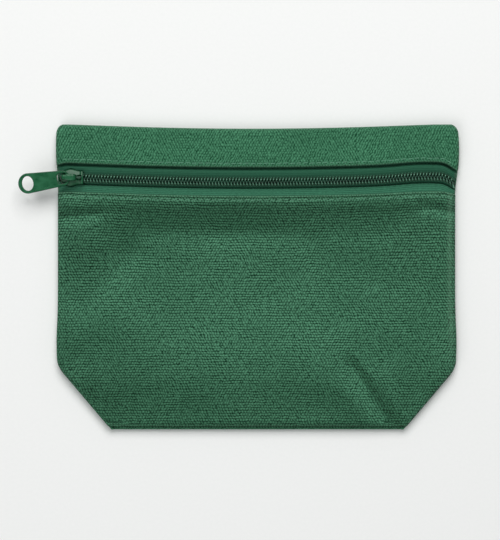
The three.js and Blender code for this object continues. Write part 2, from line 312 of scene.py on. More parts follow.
def spot(x, y, middle, reach):
    """1 in the middle of an oval place, falling to 0 around it."""
    return hump(x, middle[0], reach[0]) * hump(y, middle[1], reach[1])


def side_edge(y, side):
    """How far the outline is from the middle at height y, on the left (-1) or right (1)."""
    straight = HALF_WIDTH - np.where(side < 0, 0.7, 1.6)
    straight = straight + np.where(side < 0, 1.0, 2.0) * hump(y, 65.0, 14.0)
    straight = straight + 0.7 * hump(y, -33.0, 13.0)
    slope = (HALF_WIDTH - CREASE_HALF) / (CORNER_TOP_Y - CREASE_Y)
    folded = CREASE_HALF + (y - CREASE_Y) * slope
    width = smooth_min(straight, folded, CREASE_CORNER)
    into_corner = np.clip((y - (TOP_Y - TOP_CORNER)) / TOP_CORNER, 0, 1)
    return width - 0.8 * TOP_CORNER * (1 - np.sqrt(1 - 0.98 * into_corner ** 2))


def sag(x, y):
    """How far the cloth near the zipper has slipped down between its two ends."""
    t = np.clip((x + 3) / 92, -1, 1)
    middle = (1 - t * t) ** 1.2
    return SAG * middle * smooth_step((y + 10) / 50)


def end_dip(x):
    """The zipper's ends bend down into the side seams."""
    right = 4.2 * smooth_step((x - 90) / 11) ** 1.4
    left = 1.0 * smooth_step((-x - 95) / 5)
    return right + left - 0.8 * hump(x, 80.0, 13.0)


def near_zip(y):
    """1 at the zipper and below it, 0 at the top fold."""
    return smooth_step((72 - y) / 14)


def valley(x, y, start, end, width, depth, gentle):
    """A groove along a line between two points, fading at both ends, gentler on its lower side."""
    (x0, y0), (x1, y1) = start, end
    length = math.hypot(x1 - x0, y1 - y0)
    ux, uy = (x1 - x0) / length, (y1 - y0) / length
    along = ((x - x0) * ux + (y - y0) * uy) / length
    off = (y - y0) * ux - (x - x0) * uy
    fade = smooth_step(along / 0.3 + 0.5) * smooth_step((1 - along) / 0.3 + 0.5)
    return -depth * fade * np.exp(-(off / np.where(off < 0, width * gentle, width)) ** 2)


def wander(x, y, size, seed):
    """Smooth unevenness between -1 and 1, with features of about the given size."""
    flat_x, flat_y = np.broadcast_arrays(x, y)
    values = [
        noise.noise(Vector((a / size, b / size, seed)))
        for a, b in zip(flat_x.ravel(), flat_y.ravel())
    ]
    return np.array(values).reshape(flat_x.shape)


def front_relief(x, y):
    """Height of the front's outer face above the table, before its edges roll down."""
    hollow = hump(x, -6.0, 104.0) * smooth_step((46 - y) / 26) * smooth_step((y + 56) / 70)
    height = FACE_Z - FRONT_SINK * hollow
    for middle, reach, rise in FRONT_SWELLS:
        height = height + rise * spot(x, y, middle, reach)
    for crease in FRONT_CREASES:
        height = height + valley(x, y, *crease)
    height = height - 1.3 * smooth_step((-48 - y) / 28)
    height = height - 1.2 * smooth_step((-y - 22) / 50) * hump(x, -95.0, 60.0)
    height = height + 0.35 * wander(x, y, 26.0, 3.1) + 0.14 * wander(x, y, 9.0, 7.7)
    return height - 0.5 * hump(y, GROOVE_Y, 0.42)


def pucker(x, y, seam_y, depth):
    """Small ripples that a row of stitches pulls into the cloth."""
    ripple = np.sin(x * 2 * math.pi / 6.5 + 1.3 * np.sin(x / 17))
    return depth * hump(y, seam_y, 5.0) * ripple - 0.14 * hump(y, seam_y, 0.8)


def hem_lift(from_edge):
    """How far the cloth is raised by the layer turned under it, near a hemmed edge."""
    return HEM_STEP * smooth_step((HEM + 1.5 - from_edge) / 3.0)


def front_face(x, y):
    lift = hem_lift(FRONT_EDGE_Y - y)
    return front_relief(x, y) + lift + pucker(x, y, FRONT_STITCH_Y, 0.10)


def band_face(x, y):
    lift = hem_lift(y - BAND_EDGE_Y) - 0.40 * np.clip(1 - (y - BAND_EDGE_Y) / 2.4, 0, 1) ** 2
    height = BAND_FACE_Z + lift + 0.35 * np.abs(x / HALF_WIDTH) ** 3
    return height + 0.12 * wander(x, y, 20.0, 11.3) + pucker(x, y, BAND_STITCH_Y, 0.09)


def back_face(x, y):
    """The table side lies flat but for slight hollows."""
    return 0.10 + 0.10 * wander(x, y, 22.0, 5.5) * smooth_step((70 - np.abs(y)) / 12)


class Columns:
    """Places across a row: turning out of the left seam, over the face, and into the right one."""

    def __init__(self, count):
        turn = np.radians([-80, -50, -20, 5, 25, 42, 57, 70, 81])
        ends = np.ones(len(turn))
        self.angle = np.concatenate([turn, np.full(count, math.pi / 2), turn[::-1]])
        self.share = np.concatenate([-ends, np.linspace(-1, 1, count), ends])

    def row(self, y, face, seam_z, tuck, inset):
        """x and z of one row, where face gives its height above the table away from the seams."""
        angle, y = self.angle, np.full_like(self.share, y)
        inward = np.where(angle < 0, TUCK_IN * abs(tuck) / TUCK, SIDE_ROLL) * (1 - np.cos(angle))
        half = side_edge(y, self.share) - inset
        x = self.share * (half - SIDE_ROLL) + np.sign(self.share) * (SIDE_ROLL - inward)
        x = np.where(angle == math.pi / 2, self.share * (half - SIDE_ROLL), x)
        out = np.sin(angle)
        z = np.where(angle < 0, seam_z + tuck * out, seam_z + (face(x, y) - seam_z) * out)
        return x, y, z


# The directions that cloth takes as it turns out of the base's pleat and onto a face.
FOLD_TURN = np.radians([-90, -65, -40, -15, 10, 30, 48, 64, 78])


def crease_rows(crease_y, fold_z, face, turn, seam_z, tuck):
    """Rows of cloth turning out of the base's pleat and round one of its creases."""
    for angle in FOLD_TURN:
        reach = PLEAT_IN if angle < 0 else FOLD_ROLL
        y = crease_y + reach * (1 - math.cos(angle))
        rise = math.sin(angle)
        if angle < 0:
            height = (lambda x, at, z=fold_z + turn * rise: np.full_like(x, z))
        else:
            height = (lambda x, at, r=rise: fold_z + (face(x, at) - fold_z) * r)
        yield y, height, seam_z, tuck, max(0.0, -1.2 * rise)


def hem_rows(edge_y, inward, face):
    """Rows over a hemmed edge and back under it."""
    centre = edge_y + inward * HEM_RADIUS
    for angle in np.linspace(0, math.pi, 9)[1:]:
        y = centre - inward * HEM_RADIUS * math.sin(angle)
        drop = HEM_RADIUS * (1 - math.cos(angle))
        height = (lambda x, at, d=drop: face(x, np.full_like(x, centre)) - d)
        yield y, height, FRONT_SEAM_Z, TUCK, 0.6 * drop
    for y in np.linspace(centre, edge_y + inward * HEM, 8)[1:]:
        yield y, (lambda x, at: face(x, at) - 2 * HEM_RADIUS), FRONT_SEAM_Z, TUCK, 1.1


def zip_sink(x, y):
    """How far the cloth beside the zipper follows its ends down."""
    share = 0.35 * smooth_step((y - 10) / 30) + 0.65 * smooth_step((y - 42) / 8)
    return end_dip(x) * near_zip(y) * share


def painted_shade(grid):
    """How steeply the cloth falls away down the page, from -1 to 1: shade is painted there, darker where
    the cloth faces away from the light.
    """
    rise = np.gradient(grid[:, :, 2], axis=0)
    run = np.gradient(grid[:, :, 1], axis=0)
    slope = np.where(run > 0.2, rise / np.maximum(run, 0.2), 0)
    return np.clip(slope / 0.16, -1, 1)


def sheet_object(name, rows, columns, sheen_and_wear, shaded=None, flip=False):
    """A canvas sheet from its rows, each (y, height function, seam height, tuck, inset).

    The functions sheen_and_wear and shaded tell how pale or dark the cloth is painted at a place: paler
    with painted sheen and wear, darker with painted shade.
    """
    grid, pale, dark = [], [], []
    for place in rows:
        x, at, z = columns.row(*place)
        grid.append(np.stack([x, at - sag(x, at) - zip_sink(x, at), z], axis=1))
        pale.append(sheen_and_wear(x, at))
        dark.append(shaded(x, at) if shaded else 0 * x)
    grid = np.array(grid)
    middle = grid[:, grid.shape[1] // 2]
    steps = np.linalg.norm(np.diff(middle, axis=0), axis=1)
    length = np.concatenate([[0], np.cumsum(steps)])
    cloth = np.stack([grid[:, :, 0], np.repeat(length[:, None], grid.shape[1], axis=1)], axis=2)
    fullness = np.clip(1 + columns.angle / math.radians(75), 0.05, 1)
    marks = {"sheen_and_wear": np.array(pale), "painted_shade": np.clip(painted_shade(grid) + np.array(dark), -1, 1)}
    return grid_object(name, grid, cloth, flip, marks, fullness), length[-1]


def front_sheen_and_wear(x, y):
    """Paler along the hemmed edge, the bottom crease and the right seam, where the cloth bends most:
    painted sheen, and wear.
    """
    edges = 0.9 * hump(y, FRONT_EDGE_Y, 0.45) + 0.5 * hump(y, FRONT_CREASE_Y, 0.5)
    return edges + 0.6 * hump(x, side_edge(y, 1) - 2.7, 1.3) * smooth_step((y + 50) / 30)


def front_shaded(x, y):
    """Painted shade in the groove below the hemmed edge, along the bottom crease and in two broad
    hollows.
    """
    lines = 3.0 * hump(y, GROOVE_Y, 0.45) + 0.6 * smooth_step((CREASE_Y + 5 - y) / 3)
    left_hollow = 0.35 * spot(x, y, (-92.0, -48.0), (50.0, 34.0))
    right_hollow = 0.2 * spot(x, y, (92.0, 0.0), (30.0, 50.0))
    return lines + left_hollow + right_hollow


def back_sheen_and_wear(x, y):
    """Paler along the band's hemmed edge, the top fold and the bottom crease: painted sheen, and wear."""
    return 0.7 * hump(y, BAND_EDGE_Y, 0.7) + 0.4 * hump(y, TOP_Y, 0.8) + 0.5 * hump(y, CREASE_Y, 0.5)


def front_canvas():
    rows = list(crease_rows(FRONT_CREASE_Y, FRONT_FOLD_Z, front_face, PLEAT_TURN, FRONT_SEAM_Z, TUCK))
    centre = FRONT_EDGE_Y - HEM_RADIUS
    wide = np.linspace(FRONT_CREASE_Y + FOLD_ROLL, centre - 4, 124)
    fine = np.linspace(centre - 4, centre, 17)[1:]
    rows += [(y, front_face, FRONT_SEAM_Z, TUCK, 0.0) for y in (*wide, *fine)]
    rows += hem_rows(FRONT_EDGE_Y, -1, front_face)
    sheet, length = sheet_object("front_canvas", rows, Columns(168), front_sheen_and_wear, front_shaded)
    return finish_sheet(sheet, "front_panel")


def back_canvas():
    rows = list(crease_rows(CREASE_Y, BACK_FOLD_Z, back_face, -PLEAT_TURN, BACK_SEAM_Z, -TUCK))
    top_roll = (BAND_FACE_Z - 0.1) / 2 * 0.8
    start, stop = CREASE_Y + FOLD_ROLL, TOP_Y - top_roll
    rows += [(y, back_face, BACK_SEAM_Z, -TUCK, 0.0) for y in np.linspace(start, stop, 110)]
    for angle in np.linspace(0, math.pi, 15)[1:]:
        share = (1 - math.cos(angle)) / 2
        height = (lambda x, y, s=share: back_face(x, y) * (1 - s) + band_face(x, y) * s)
        seam = BACK_SEAM_Z + (FRONT_SEAM_Z - BACK_SEAM_Z) * share
        rows.append((stop + top_roll * math.sin(angle), height, seam, TUCK * (2 * share - 1), 0.0))
    centre = BAND_EDGE_Y + HEM_RADIUS
    wide, fine = np.linspace(stop, centre + 4, 20)[1:], np.linspace(centre + 4, centre, 17)[1:]
    rows += [(y, band_face, FRONT_SEAM_Z, TUCK, 0.0) for y in (*wide, *fine)]
    rows += hem_rows(BAND_EDGE_Y, 1, band_face)
    sheet, length = sheet_object("back_canvas", rows, Columns(150), back_sheen_and_wear, flip=True)
    return finish_sheet(sheet, "back_panel")


def finish_sheet(sheet, node):
    """Gives the sheet its thickness and hides the CAD part that it stands for."""
    thicken(sheet, CANVAS)
    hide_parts(node)
    return sheet


def base_pleat():
    """The canvas between the front's and the back's creases, folded up inside the bag."""
    depth = GUSSET_HIGH[1] - CREASE_Y
    low, high = BACK_FOLD_Z + PLEAT_TURN, FRONT_FOLD_Z - PLEAT_TURN
    rows = [(y, high) for y in np.linspace(FRONT_CREASE_Y + PLEAT_IN, BASE_FOLD_Y, 14)]
    for angle in np.linspace(0, math.pi, 7)[1:-1]:
        z = (low + high) / 2 + (high - low) / 2 * math.cos(angle)
        rows.append((BASE_FOLD_Y + BASE_FOLD_RADIUS * math.sin(angle), z))
    rows += [(y, low) for y in np.linspace(BASE_FOLD_Y, CREASE_Y + PLEAT_IN, 14)]
    share = np.linspace(-1, 1, 60)
    grid = []
    for y, z in rows:
        x = share * (side_edge(np.full_like(share, y), share) - TUCK_IN - 0.4)
        grid.append(np.stack([x, np.full_like(x, y), np.full_like(x, z)], axis=1))
    grid = np.array(grid)
    cloth = grid[:, :, :2].copy()
    cloth[:, :, 1] = np.cumsum(np.full((len(grid), 1), 2 * depth / len(grid)), axis=0)
    made = grid_object("base_pleat", grid, cloth, flip=True)
    return finish_sheet(made, "base_gusset")


def corner_pleat(side):
    """The corner's canvas tucked in between front and back along the slanting edge."""
    name = "left" if side < 0 else "right"
    inward = np.linspace(0, CORNER_TUCK, 8)
    layers = []
    for z, slope in ((BACK_SEAM_Z + TUCK - 0.4, 0.06), (FRONT_SEAM_Z - TUCK + 0.4, -0.06)):
        layer = []
        for y in np.linspace(CREASE_Y + 3, CORNER_TOP_Y - 1, 22):
            edge = float(side_edge(np.array([y]), np.array([side]))[0]) - TUCK_IN + 0.1
            layer.append([(side * (edge - d), y, z + slope * d) for d in inward])
        layers.append(np.array(layer))
    low, high = layers
    bend = (low[:, -1:] + high[:, -1:]) / 2 - np.array([side * 0.5, 0, 0])
    grid = np.concatenate([low, bend, high[:, ::-1]], axis=1)
    cloth = grid[:, :, :2].copy()
    cloth[:, len(inward) + 1:, 0] += side * CORNER_TUCK
    made = grid_object("corner_pleat_" + name, grid, cloth, flip=side > 0)
    thicken(made, 0.7)
    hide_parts("corner_gusset_" + name)
    return made


OVERLOCK_STEP = 2.2                 # from one loop of the overlock to the next


def zip_press(y):
    """How far the zipper's end presses a seam's raw edges down."""
    return 1.4 * smooth_step((y - CHAIN_Y + 14) / 8) * smooth_step((CHAIN_Y + 17 - y) / 8)


def seam_strip(side):
    """The raw edges inside a side seam, with the overlock thread that binds them."""
    name = "left" if side < 0 else "right"
    ys = np.linspace(ALLOWANCE_LOW[1] + 1, ALLOWANCE_HIGH[1] - 1, 90)
    outer, inner = ALLOWANCE_HIGH[0] - 0.6, ALLOWANCE_LOW[0]
    grid = []
    for y in ys:
        wave = 0.12 * math.sin(y / 3.3) + 0.08 * math.sin(y / 1.1)
        z = SEAM_Z - zip_press(y)
        grid.append([(side * x, y, z + wave * (outer - x) / 8) for x in np.linspace(outer, inner, 9)])
    grid = np.array(grid)
    strip = grid_object("seam_allowance_" + name + "_cloth", grid, grid[:, :, :2])
    thicken(strip, 0.8)
    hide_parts("seam_allowance_" + name)
    turn = np.linspace(0, 2 * math.pi, 18)
    paths = []
    for y in np.arange(OVERLOCK_LOW[1] + 1, OVERLOCK_HIGH[1] - 3, OVERLOCK_STEP):
        x = OVERLOCK_LOW[0] + 1.6 - 1.9 * np.cos(turn)
        z = SEAM_Z - zip_press(y) + 0.62 * np.sin(turn)
        paths.append(np.stack([side * x, y + OVERLOCK_STEP * turn / (2 * math.pi), z], axis=1))
    loops = tube_object("overlock_" + name, [np.concatenate(paths)], 0.16, 6)
    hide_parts("side_overlock_" + name)
    return strip, loops


# ------------------------------------------------------------------ the zipper

PITCH = 1.55                        # from one turn of the coil to the next
WIRE = 0.31
COIL_MID_Z = (COIL_LOW[2] + COIL_HIGH[2]) / 2
COIL_RISE = 0.84                    # how far the wire's middle goes above and below the coil's
WIRE_SIDES = 8
HEAD, HEEL = -0.32, 2.0             # the wire's reach over the middle line and away from it
TAPE_WIDTH = TAPE_HIGH[1] - TAPE_LOW[1]


def end_drop(x, z):
    """How much lower the zipper lies where it runs into a side seam."""
    inward = HALF_WIDTH - 1.3 - np.abs(x)
    t = np.clip(inward / 5.0, 0, 1)
    return (z - SEAM_Z - 0.6) * (1 - np.sqrt(1 - (1 - t) ** 2))


def on_zip(x, offset, z):
    """A point on the sagging zipper, offset from its middle line towards the band (+) or the front."""
    x, offset, z = np.broadcast_arrays(np.asarray(x, float), offset, z)
    y = CHAIN_Y + offset
    y = y - sag(x, y) - end_dip(x) * near_zip(y)
    return np.stack([x, y, z - end_drop(x, z)], axis=-1)


def tape_sink(side, offset):
    """How far a tape lies below its highest level, at a distance from the zipper's middle line."""
    if side > 0:
        return 2.3 * smooth_step((offset - 5.2) / 1.6) - 0.3 * smooth_step((offset - 3.2) / 2.0)
    under_front = 0.5 * smooth_step((offset - 3.4) / 3.0) + smooth_step((offset - 7.4) / 2)
    return under_front + 1.0 * hump(offset, 2.8, 0.42)


def tape_shade(side, offset):
    """How dark the shadow painted on a tape is: along its coil, and on the upper one all over, close
    under the band.
    """
    if side > 0:
        return 0.6 + 0.3 * hump(offset, 2.75, 0.6)
    return 0.9 * hump(offset, 2.75, 0.5)


def tape(side):
    """A woven tape whose inner edge carries the coil and whose outer part is sewn under the canvas."""
    name = "upper" if side > 0 else "lower"
    share = np.linspace(-1, 1, 180)
    offsets = np.concatenate([np.linspace(0.9, 7, 34), np.linspace(7, TAPE_WIDTH, 8)[1:]])
    rows, shades = [], []
    for offset in offsets:
        xs = share * (side_edge(CHAIN_Y + side * offset, share) - 0.7)
        ripple = 0.05 * np.sin(xs / 4.1 + side) * smooth_step((offset - 2) / 3)
        rows.append(on_zip(xs, side * offset, TAPE_Z - tape_sink(side, offset) + ripple))
        shades.append(tape_shade(side, offset))
    grid = np.array(rows)
    cloth = np.stack([grid[:, :, 0], np.repeat(offsets[:, None] * side, len(share), axis=1)], axis=2)
    # Painted shadow, stored at the tape's points for its material.
    painted_shadow = np.repeat(np.array(shades)[:, None], len(share), axis=1)
    made = grid_object("tape_" + name, grid, cloth, side < 0, {"shade": painted_shadow})
    thicken(made, 0.45)
    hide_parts("zipper_tape_" + name)
    return made


def coil(side):
    """One side's monofilament, wound in flattened turns that hook past the middle line."""
    name = "upper" if side > 0 else "lower"
    turns = int(2 * (ZIP_END_X - 1) / PITCH)
    theta = np.linspace(0, 2 * math.pi * turns, turns * 16 + 1)
    shift = 0.0 if side > 0 else PITCH / 2
    x = -ZIP_END_X + 1 + shift + PITCH * (theta / (2 * math.pi) - 0.12 * np.sin(theta))
    reach = (HEAD + HEEL) / 2 - (HEEL - HEAD) / 2 * np.cos(theta)
    z = COIL_MID_Z + COIL_RISE * np.sign(np.sin(theta)) * np.abs(np.sin(theta)) ** 0.6
    made = tube_object("coil_" + name, [on_zip(x, side * reach, z)], WIRE, WIRE_SIDES)
    # A highlight is painted on the outer, upper part of each turn.
    painted_highlight = smooth_step((reach - 0.5) / 1.0) * smooth_step((z - COIL_MID_Z) / 0.5 + 0.5)
    mark_points(made, "painted_highlight", np.repeat(painted_highlight, WIRE_SIDES))
    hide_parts("zipper_coil_" + name)
    return made


def filler_cord(side):
    """The cord inside the coil's turns."""
    name = "upper" if side > 0 else "lower"
    x = np.linspace(-ZIP_END_X + 0.5, ZIP_END_X - 0.5, 400)
    twist = 0.05 * np.sin(x * 2.9)
    made = tube_object("filler_" + name, [on_zip(x, side * (1.25 + twist), COIL_MID_Z - 0.15)], 0.36, 10)
    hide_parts("filler_cord_" + name)
    return made


def coil_stitches(side):
    """Chain stitches that hold the coil on its tape: two slanting strands over each turn."""
    name = "upper" if side > 0 else "lower"
    top = COIL_MID_Z + COIL_RISE + WIRE
    paths = []
    for x in np.arange(-ZIP_END_X + 2, ZIP_END_X - 2, PITCH):
        for low, high in ((1.45, 2.05), (2.2, 1.6)):
            t = np.linspace(0, 1, 6)
            reach = low + (high - low) * t
            z = top - 0.06 + 0.13 * np.sin(math.pi * t) - 0.25 * (reach - 1.4)
            paths.append(on_zip(x + 1.5 * t, side * reach, z))
    made = tube_object("coil_stitch_" + name, paths, 0.15, 6)
    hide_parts("coil_thread_" + name)
    return made


STITCH = 3.25                       # from one stitch to the next


def topstitch(name, node, seam_y, face):
    """A row of separate stitches, each a rounded strand that dives into the cloth at its ends."""
    paths = []
    for i, start in enumerate(np.arange(-HALF_WIDTH + 2.5, HALF_WIDTH - 5.0, STITCH)):
        t = np.linspace(0, 1, 9)
        x = start + (STITCH - 1.0) * t
        y = seam_y + 0.10 * math.sin(i * 2.1) + 0.12 * (t - 0.5)
        z = face(x, y) + 0.24 * np.sin(math.pi * t) ** 0.5 - 0.14
        rim = np.clip((HALF_WIDTH - 1.5 - np.abs(x)) / SIDE_ROLL, 0, 1)
        z = FRONT_SEAM_Z + (z - FRONT_SEAM_Z) * np.sqrt(1 - (1 - rim) ** 2)
        paths.append(np.stack([x, y - sag(x, y) - zip_sink(x, y), z], axis=1))
    made = tube_object(name, paths, 0.20, 8, flat=0.8)
    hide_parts(node)
    return made


# ------------------------------------------------------------------ the slider

WING = (                            # distance from the slider's nose, and half its width there
    (0, 2.5), (1.4, 3.7), (3.2, 4.6), (4.8, 4.9), (6.6, 4.35), (8.2, 3.8), (9.2, 3.7), (11, 3.7),
)
PLATE = 0.95                        # thickness of each of its two plates


def wing_half(along):
    """Half the slider's width at a distance from its nose."""
    reach, half = zip(*WING)
    spread = [np.interp(along + shift, reach, half) for shift in (-0.8, -0.4, 0, 0.4, 0.8)]
    return np.mean(spread, axis=0)


def slider_shell(side):
    """The upper (1) or lower (-1) plate: domed, with its edges turned over the tapes."""
    length = SLIDER_HIGH[0] - SLIDER_LOW[0]
    along = np.linspace(0, length, 67)
    share = np.linspace(-1, 1, 45)
    s, v = np.meshgrid(along, share, indexing="ij")
    y = v * wing_half(s)
    ends = np.clip(1 - np.minimum(s, length - s) / 0.6, 0, 1) ** 2
    height = 0.95 * (1 - np.abs(v) ** 1.6) - 0.5 - 0.35 * ends
    height = height - 1.45 * np.clip((np.abs(v) - 0.80) / 0.20, 0, 1) ** 2
    height = height + 0.28 * smooth_step((s - length + 1.5) / 0.4)
    if side > 0:
        window = smooth_step((0.85 - np.abs(s - 9.0)) / 0.15) * smooth_step((1.15 - np.abs(y)) / 0.15)
        height = height - 1.3 * window
    edge_z = SLIDER_HIGH[2] if side > 0 else SLIDER_LOW[2]
    z = edge_z + side * (height - (0.2 if side > 0 else 0.45))
    grid = np.stack([SLIDER_LOW[0] + s, CHAIN_Y + y, z], axis=2)
    made = grid_object("slider_top" if side > 0 else "slider_bottom", grid, grid[:, :, :2], flip=side > 0)
    thicken(made, PLATE)
    soften(made, 0.18, 3, 50)
    if side > 0:
        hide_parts("slider_body")
    return made


def slider_neck():
    """The wedge between the plates, rounded at its nose, that parts the two rows of turns."""
    turn = np.linspace(0, 2 * math.pi, 33)[:-1]
    centre_x, low, high = SLIDER_LOW[0] + 2.1, SLIDER_LOW[2] + 0.4, SLIDER_HIGH[2] - 0.5
    rings = []
    for z, grow in ((low, 1.15), (low + 0.6, 1.0), (high - 0.6, 1.0), (high, 1.15)):
        x = centre_x + 1.7 * grow * np.cos(turn) * (1 + 0.25 * np.cos(turn))
        y = CHAIN_Y + 1.15 * grow * np.sin(turn) * (1 - 0.35 * np.cos(turn))
        rings.append(np.stack([x, y, np.full_like(x, z)], axis=1))
    return rings_object("slider_neck", rings)


def squarish(share):
    """A sine or cosine made fuller, for a section between an oval and a rectangle."""
    return np.sign(share) * np.abs(share) ** 0.8


def slider_arch():
    """The arched cap that holds the pull: it rises from the nose and bends down over the pawl."""
    half_thick = 0.55
    left, right, top = CAP_LOW[0], CAP_HIGH[0], CAP_HIGH[2] - half_thick
    rise = [(left + 0.6, z) for z in np.linspace(SLIDER_HIGH[2] - 0.4, top - 1.0, 8)]
    bend = [
        (left + 1.6 - math.cos(a), top - 1.0 + math.sin(a))
        for a in np.linspace(0.15, math.pi / 2, 8)
    ]
    flat = [(x, top - 0.04 * (right - x)) for x in np.linspace(left + 1.9, right - 1.7, 9)]
    nose = [
        (right - 1.6 + 2.2 * math.sin(a), top - 1.6 * (1 - math.cos(a)))
        for a in np.linspace(0.1, 1.45, 9)
    ]
    line = np.array(rise + bend + flat + nose)
    turn = np.linspace(0, 2 * math.pi, 29)[:-1]
    along = np.gradient(line, axis=0)
    along /= np.linalg.norm(along, axis=1)[:, None]
    rings = []
    for i, ((x, z), (dx, dz)) in enumerate(zip(line, along)):
        end = np.sqrt(np.clip((len(line) - 0.6 - i) / 4, 0.05, 1))
        half_wide = 1.25 + 0.4 * smooth_step((x - left - 1.5) / 2)
        wide = half_wide * end * squarish(np.cos(turn))
        thick = half_thick * end * squarish(np.sin(turn))
        rings.append(np.stack([x - dz * thick, CHAIN_Y + wide, z + dx * thick], axis=1))
    made = rings_object("slider_arch", rings)
    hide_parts("slider_cap")
    return made


# ------------------------------------------------------------------ how far the mouth would open

MOUTH_LEFT, MOUTH_RIGHT = -HALF_WIDTH + 3, HALF_WIDTH - 36


def mouth_share(x):
    """0 where the front stays put at its seams and at the slider, 1 in the middle of the mouth."""
    t = np.clip((x - MOUTH_LEFT) / (MOUTH_RIGHT - MOUTH_LEFT), 0, 1)
    return np.sin(math.pi * t) ** 2


def gape(piece, follow=None):
    """Bakes the piece's place into its mesh and works out how far each point would bow out with the front
    between the side seams when the zipper is open.
    """
    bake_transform(piece)
    places = np.zeros(len(piece.data.vertices) * 3, np.float32)
    piece.data.vertices.foreach_get("co", places)
    places = places.reshape(-1, 3) / MM
    share = mouth_share(places[:, 0])
    if follow is not None:
        share = share * follow(places)


def pleat_follow(places):
    """How much the pleat's upper layer would follow the front, less and less towards its fold."""
    upper = smooth_step((places[:, 2] - SEAM_Z) / 0.5)
    return upper * smooth_step((BASE_FOLD_Y - places[:, 1]) / 22)


# ------------------------------------------------------------------ materials

def linear(red, green, blue):
    """A colour given in display values from 0 to 255."""
    def one(c):
        c = c / 255
        return c / 12.92 if c <= 0.04045 else ((c + 0.055) / 1.055) ** 2.4
    return (one(red), one(green), one(blue), 1)


class Paint:
    """A material and a short way to write its nodes."""

    def __init__(self, name, **surface):
        self.material = bpy.data.materials.new(name)
        self.material.use_nodes = True
        self.tree = self.material.node_tree
        self.shader = self.tree.nodes["Principled BSDF"]
        for socket, value in surface.items():
            self.shader.inputs[socket.replace("_", " ")].default_value = value

    def node(self, kind, *inputs, **settings):
        made = self.tree.nodes.new("ShaderNode" + kind)
        for key, value in settings.items():
            setattr(made, key, value)
        for socket, value in zip(made.inputs, inputs):
            self.connect(value, socket)
        return made.outputs[0]

    def connect(self, value, socket):
        if isinstance(value, bpy.types.NodeSocket):
            self.tree.links.new(value, socket)
        elif value is not None:
            socket.default_value = value

    def math(self, operation, *values):
        return self.node("Math", *values, operation=operation)

    def wave(self, kind, turns):
        """The sine or cosine of a number of whole turns."""
        return self.math(kind, self.math("MULTIPLY", turns, 2 * math.pi))

    def stored(self, name, output="Vector"):
        """What a mesh keeps at its points under a name."""
        made = self.tree.nodes.new("ShaderNodeAttribute")
        made.attribute_name = name
        return made.outputs[output]

    def place(self):
        return self.tree.nodes.new("ShaderNodeTexCoord").outputs["Object"]

    def outward(self):
        return self.tree.nodes.new("ShaderNodeTexCoord").outputs["Normal"]

    def tinted(self, colour, factors):
        """A colour with its red, green and blue multiplied by three factors."""
        return self.node("VectorMath", colour, factors, operation="MULTIPLY")

    def scaled(self, place, size):
        """The place in units of the given sizes along x, y and z, in millimetres."""
        factors = tuple(1 / (s * MM) for s in size)
        return self.node("VectorMath", place, factors, operation="MULTIPLY")

    def unevenness(self, place, size, detail=2.0):
        made = self.tree.nodes.new("ShaderNodeTexNoise")
        made.inputs["Scale"].default_value = 1.0
        made.inputs["Detail"].default_value = detail
        self.connect(self.scaled(place, size), made.inputs["Vector"])
        return made.outputs["Fac"]

    def split(self, vector):
        made = self.tree.nodes.new("ShaderNodeSeparateXYZ")
        self.connect(vector, made.inputs[0])
        return made.outputs

    def blend(self, share, low, high):
        """A colour between two others."""
        made = self.tree.nodes.new("ShaderNodeMix")
        made.data_type = "RGBA"
        self.connect(share, made.inputs[0])
        self.connect(low, made.inputs[6])
        self.connect(high, made.inputs[7])
        return made.outputs[2]

    def ranged(self, value, low, high, to_low=0.0, to_high=1.0):
        return self.node("MapRange", value, low, high, to_low, to_high)

    def finish(self, colour, roughness, height, strength, distance):
        """Colour, roughness, and a relief from a height; the distance is in millimetres."""
        self.connect(colour, self.shader.inputs["Base Color"])
        self.connect(roughness, self.shader.inputs["Roughness"])
        bump = self.tree.nodes.new("ShaderNodeBump")
        bump.inputs["Strength"].default_value = strength
        bump.inputs["Distance"].default_value = distance * MM
        self.connect(height, bump.inputs["Height"])
        self.connect(bump.outputs[0], self.shader.inputs["Normal"])
        return self.material


WEFT_PITCH = 1.345                  # from one thread across the cloth to the next
WARP_PAIR = 1.40                    # from one bump in such a thread to the next
TAPE_RIB = 0.9                      # from one rib of the zipper's tape to the next


